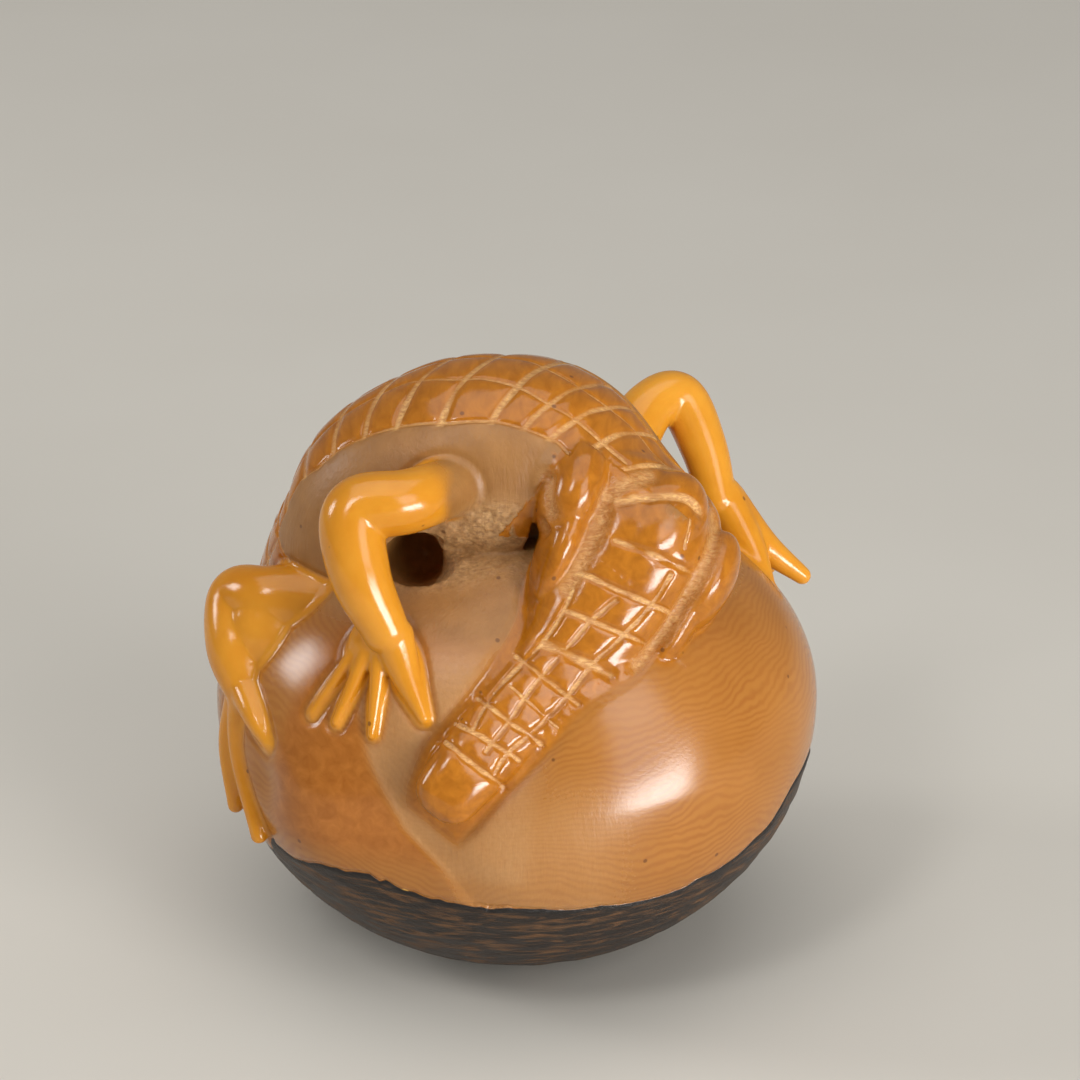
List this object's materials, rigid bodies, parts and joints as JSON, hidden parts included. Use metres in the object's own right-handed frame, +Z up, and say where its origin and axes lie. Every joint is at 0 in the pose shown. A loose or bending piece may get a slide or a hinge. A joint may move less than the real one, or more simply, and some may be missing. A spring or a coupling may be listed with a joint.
{
  "type": "carved nut ornament",
  "caption": "Tagua nut carved as a caiman curled over its domed top, with the nut's dark shell left as the rounded base.",
  "frame": {"origin": "on the table under the middle of the carving's bounding box", "axes": "+Z up, -Y towards the side that the caiman's head faces, +X to the right as seen from that side"},
  "size_m": [0.0518, 0.0483, 0.0521],
  "materials": {
    "tagua": "polished"
  },
  "bodies": {
    "root": {"caiman_carving": "tagua"}
  },
  "joints": []
}
